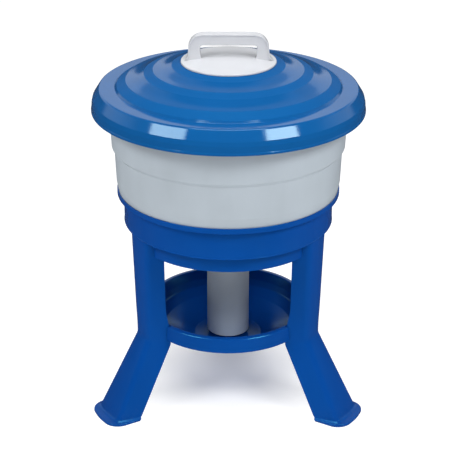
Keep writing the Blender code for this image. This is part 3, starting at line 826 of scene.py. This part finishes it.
def tray_mesh():
    """Round feed pan: rolled rim, outer skirt, sloping dish, and a cone that spreads the feed."""
    wall = 2.4
    outline = [
        (0.0, 113.3), (7.0, 110.8, 6.0), (24.0, TRAY_FLOOR + 1, 4.0), (28.0, TRAY_FLOOR, 4.0),
        (54.0, TRAY_FLOOR, 8.0), (100.7, 113.7, 12.0), (115.2, 124.8, 8.0), (119.7, 134.8, 8.0),
        (122.5, 149.9, 1.5), (124.1, TRAY_RIM, 1.2), (127.1, TRAY_RIM - 0.4, 3.0),
        (130.4, TRAY_RIM - 0.8, 1.6), (131.6, 149.1, 1.6), (132.2, 140.9, 6.0),
        (TRAY_RADIUS, TRAY_BOTTOM, 0.6),
        (TRAY_RADIUS - wall, TRAY_BOTTOM, 0.6), (129.6, 140.9, 6.0), (129.0, 148.1, 0.8),
        (125.3, 148.5, 0.8), (122.3, 134.8, 6.0), (117.3, 123.4, 6.0), (101.9, 111.5, 8.0),
        (54.6, TRAY_FLOOR - wall, 6.0), (28.0, TRAY_FLOOR - wall, 4.0), (22.0, TRAY_FLOOR - 1.6, 4.0),
        (6.0, 107.9, 5.0), (0.0, 110.3),
    ]
    lug_bottom = LEG_SHELF_TOP + 0.3
    lugs = []
    pilots = []
    for angle in LEG_ANGLES.values():
        tab = box_mesh("tab", (130.4, -8, lug_bottom), (153.0, 8, lug_bottom + 3))
        boss = disc_mesh("boss", 5, lug_bottom + 1, lug_bottom + 13, (TRAY_SCREW_RADIUS, 0))
        pilot = disc_mesh("pilot", PILOT_HOLE, lug_bottom - 5, lug_bottom + 11.5, (TRAY_SCREW_RADIUS, 0))
        lugs += [turned_about_z(tab, angle), turned_about_z(boss, angle)]
        pilots.append(turned_about_z(pilot, angle))
        pilots += [turned_about_z(slot, angle) for slot in wall_slots(TRAY_BOTTOM - 1, TRAY_RIM + 1)]
    return combine(combine(turned_mesh("tray_pan", outline), lugs, "UNION"), pilots, "DIFFERENCE")


def tube_mesh():
    """Sleeve that slides on the spout, with a thicker collar at its top."""
    inside = TUBE_RADIUS - 2.2
    outline = [
        (inside, TUBE_TOP, 0.5), (TUBE_LIP, TUBE_TOP, 0.9), (TUBE_LIP, 212.5, 0.8),
        (TUBE_RADIUS, 211.9, 0.5),
        (TUBE_RADIUS, TUBE_BOTTOM, 0.8), (inside, TUBE_BOTTOM, 0.6),
    ]
    return turned_mesh("feed_sleeve", outline, SMALL_STEPS)


# ---- assembly -------------------------------------------------------------------------------------
def screw_at(name, mesh, x, y, height, upside_down, body):
    copy = mesh.copy()
    if upside_down:
        copy.transform(Matrix.Rotation(math.pi, 4, "X"))
    copy.transform(Matrix.Translation(Vector((x, y, height)) * MM))
    show(name + "_threaded", copy, ZINC, body, name)


def build():
    show("base_moulding", base_mesh(), BASE_BLUE, "base", "hopper_base")
    show("hopper_drum", hopper_mesh(), GREY, "hopper", "hopper")
    satin_rings(show("lid_dome", lid_mesh(), LID_BLUE, "lid", "lid"))
    show("handle_moulding", handle_mesh(), WHITE, "lid", "lid_handle")
    show("tray_pan", tray_mesh(), BASE_BLUE, "base", "tray")
    show("feed_sleeve", tube_mesh(), GREY, "feed_tube", "feed_tube")

    leg = leg_mesh()
    leg_screw = screw_mesh("leg_screw", 13)
    tray_screw = screw_mesh("tray_screw", 12)
    handle_screw = screw_mesh("handle_screw", 6.6)
    for name, angle in LEG_ANGLES.items():
        show(f"leg_{name}_moulding", turned_about_z(leg, angle), BASE_BLUE, "base", "leg_" + name)
        turn = math.radians(angle)
        for number, side in enumerate((-1, 1), 1):
            spread = side * LEG_SCREW_SPREAD
            x = LEG_SCREW_RADIUS * math.cos(turn) - spread * math.sin(turn)
            y = LEG_SCREW_RADIUS * math.sin(turn) + spread * math.cos(turn)
            screw_at(f"leg_screw_{name}_{number}", leg_screw, x, y, SHELF_TOP + 0.3, False, "base")
        x, y = on_circle(TRAY_SCREW_RADIUS, angle)
        screw_at("tray_screw_" + name, tray_screw, x, y, LEG_SHELF_TOP - 3.3, True, "base")
    for number, angle in enumerate(HANDLE_SCREW_ANGLES, 1):
        x, y = on_circle(HANDLE_SCREW_CIRCLE, angle)
        screw_at(f"handle_screw_{number}", handle_screw, x, y, LID_PLATE - 3.1, True, "lid")


# ---- studio ---------------------------------------------------------------------------------------
FLOOR_REACH = 9.0
BACKDROP_RADIUS = 12.0
# Paper inside and outside a painted shade: under the feeder the paper glows less, so it looks shaded beyond
# its cast shadow.
PAINTED_SHADE_PAPER = (0.80, 0.80, 0.81)
FAR_PAPER = (0.30, 0.30, 0.30)
PAPER_GLOW_AND_PAINTED_SHADE = (0.30, 0.95)                       # emission within the painted shade under the feeder, and evenly white away from it
PAINTED_SHADE_REACH = (0.07, 0.19)                      # radii between which the painted shade passes into the even glow
PAINTED_SHADE_BEHIND = 0.05                             # how far behind the axis the painted shade's centre is
WHITE_GLOW = (1.0, 1.0, 1.0, 1.0)


def floor():
    """White paper that takes the feeder's shadow close by and glows evenly white further off; close by it
    glows less, a painted shade centred a little behind the axis.
    """
    bm = bmesh.new()
    bmesh.ops.create_grid(bm, x_segments=1, y_segments=1, size=FLOOR_REACH)
    sheet = bpy.data.objects.new("studio_floor", finish_mesh(bm, "studio_floor"))
    bpy.context.scene.collection.objects.link(sheet)
    surface = Surface("studio_floor_paper")
    fibres = surface.ranged(surface.noise(3.0, detail=3.0), 0.3, 0.7, 0.985, 1.0)
    # painted shade: less glow and another paper colour within a disc a little behind the axis
    out_of_painted_shade = surface.ranged(surface.radius_from_axis(PAINTED_SHADE_BEHIND), *PAINTED_SHADE_REACH, 0.0, 1.0)
    surface.link(surface.mixed(out_of_painted_shade, PAINTED_SHADE_PAPER, FAR_PAPER), surface.shader.inputs["Base Color"])
    surface.link(surface.maths("MULTIPLY", fibres, surface.ranged(out_of_painted_shade, 0.0, 1.0, *PAPER_GLOW_AND_PAINTED_SHADE)),
                 surface.shader.inputs["Emission Strength"])
    surface.set(Roughness=0.9, Specular_IOR_Level=0.1, Emission_Color=WHITE_GLOW)
    sheet.visible_glossy = False
    sheet.data.materials.append(surface.material)


def backdrop():
    """A plain white surround, far off, that lights nothing and is mirrored in nothing."""
    bm = bmesh.new()
    bmesh.ops.create_uvsphere(bm, u_segments=48, v_segments=24, radius=BACKDROP_RADIUS)
    surround = bpy.data.objects.new("studio_backdrop", finish_mesh(bm, "studio_backdrop"))
    bpy.context.scene.collection.objects.link(surround)
    surface = Surface("studio_backdrop_paper")
    surface.set(Base_Color=(0.0, 0.0, 0.0, 1.0), Specular_IOR_Level=0.0, Emission_Color=WHITE_GLOW,
                Emission_Strength=1.0)
    surround.data.materials.append(surface.material)
    for ray in ("diffuse", "glossy", "transmission", "shadow"):
        setattr(surround, "visible_" + ray, False)


def area_light(name, where, target, width, height, radiance, mirrored):
    """A soft box whose face has the given brightness, aimed at a point. An unmirrored one only fills."""
    light = bpy.data.lights.new(name, "AREA")
    light.shape = "RECTANGLE"
    light.size = width
    light.size_y = height
    light.energy = radiance * math.pi * width * height
    lamp = bpy.data.objects.new(name, light)
    bpy.context.scene.collection.objects.link(lamp)
    lamp.location = where
    lamp.rotation_euler = (Vector(target) - Vector(where)).to_track_quat("-Z", "Y").to_euler()
    lamp.visible_glossy = mirrored


def round_the_lid(azimuth, elevation, distance):
    """A point seen from the lid at an azimuth from the front, positive to the right, and an elevation."""
    turn = math.radians(azimuth)
    flat = distance * math.cos(math.radians(elevation))
    rise = distance * math.sin(math.radians(elevation))
    return (AXIS.x + flat * math.sin(turn), AXIS.y - flat * math.cos(turn), LID_BOTTOM * MM + rise)


# Each light: azimuth, elevation and distance from the lid, height of its target, width, height, radiance.
LIGHTS = {
    "softbox_left": (-55.0, 37.0, 2.0, 0.45, 0.92, 0.52, 10.5),
    "softbox_right": (48.0, 37.0, 2.0, 0.45, 0.80, 0.52, 15.0),
    "overhead": (0.0, 76.0, 1.7, 0.5, 1.3, 0.75, 5.0),
    "overhead_fill": (180.0, 80.0, 1.9, 0.4, 1.6, 1.2, 1.4),
    "front_fill": (0.0, 31.0, 2.4, 0.35, 0.8, 0.7, 5.0),
}


def lights():
    for name, (azimuth, elevation, distance, aim, width, height, radiance) in LIGHTS.items():
        area_light(name, round_the_lid(azimuth, elevation, distance), (AXIS.x, AXIS.y, aim), width, height,
                   radiance, mirrored=not name.endswith("_fill"))


# Brightness by the sine of the elevation, as the gloss mirrors it: dark low down, a lit band, a dark ceiling.
BACKDROP = ((-1.0, 0.04), (0.14, 0.05), (0.20, 0.78), (0.44, 0.78), (0.47, 0.34), (0.70, 0.28), (0.78, 0.05),
            (1.0, 0.05))
FRONT_ROOM = 0.06
ROOM_BLEND = 0.25                               # half the width, as a sine, over which front and back mix


def room():
    """What the gloss mirrors: the backdrop behind the feeder, and an even dark room on the camera's side."""
    world = bpy.data.worlds.new("studio")
    bpy.context.scene.world = world
    world.use_nodes = True
    tree = world.node_tree
    background = tree.nodes["Background"]
    split = tree.nodes.new("ShaderNodeSeparateXYZ")
    tree.links.new(tree.nodes.new("ShaderNodeTexCoord").outputs["Generated"], split.inputs["Vector"])
    height = tree.nodes.new("ShaderNodeMapRange")
    height.inputs["From Min"].default_value = -1.0
    tree.links.new(split.outputs["Z"], height.inputs["Value"])
    ramp = tree.nodes.new("ShaderNodeValToRGB")
    stops = ramp.color_ramp.elements            # a new ramp has two stops already
    for number, (sine, brightness) in enumerate(BACKDROP):
        place = (sine + 1) / 2
        stop = stops[number] if number < 2 else stops.new(place)
        stop.position = place
        stop.color = (brightness * 0.97, brightness * 0.985, brightness, 1.0)
    tree.links.new(height.outputs["Result"], ramp.inputs["Fac"])
    behind = tree.nodes.new("ShaderNodeMapRange")
    behind.inputs["From Min"].default_value = -ROOM_BLEND
    behind.inputs["From Max"].default_value = ROOM_BLEND
    tree.links.new(split.outputs["Y"], behind.inputs["Value"])
    mix = tree.nodes.new("ShaderNodeMix")
    mix.data_type = "RGBA"
    colours = [socket for socket in mix.inputs if socket.type == "RGBA"]
    colours[0].default_value = (FRONT_ROOM, FRONT_ROOM, FRONT_ROOM, 1.0)
    tree.links.new(behind.outputs["Result"], mix.inputs["Factor"])
    tree.links.new(ramp.outputs["Color"], colours[1])
    tree.links.new([socket for socket in mix.outputs if socket.type == "RGBA"][0], background.inputs["Color"])


# The camera that fits the circles of the lid and the tray as they stand in the picture.
LENS = 110.934
SENSOR = 36.0
SIDE_SHIFT = -0.00487
EYE_DISTANCE = 2.022948                         # level distance from the feeder's axis
EYE_HEIGHT = 1.193618
DOWNWARD_DEGREES = 24.2019
ROLL_DEGREES = 0.15


def camera():
    """Long lens a little over two metres away, looking down on the lid from the front."""
    view = bpy.data.cameras.new("camera")
    view.sensor_width = SENSOR
    view.lens = LENS
    view.shift_x = SIDE_SHIFT
    view.clip_end = 50.0
    eye = bpy.data.objects.new("camera", view)
    bpy.context.scene.collection.objects.link(eye)
    eye.location = (AXIS.x, AXIS.y - EYE_DISTANCE, EYE_HEIGHT)
    tilt = Euler((math.radians(90 - DOWNWARD_DEGREES), 0, 0)).to_matrix()
    roll = Matrix.Rotation(math.radians(ROLL_DEGREES), 3, "Z")
    eye.rotation_euler = (tilt @ roll).to_euler()
    bpy.context.scene.camera = eye


build()
floor()
backdrop()
lights()
room()
camera()
bpy.context.scene.view_settings.view_transform = "Standard"
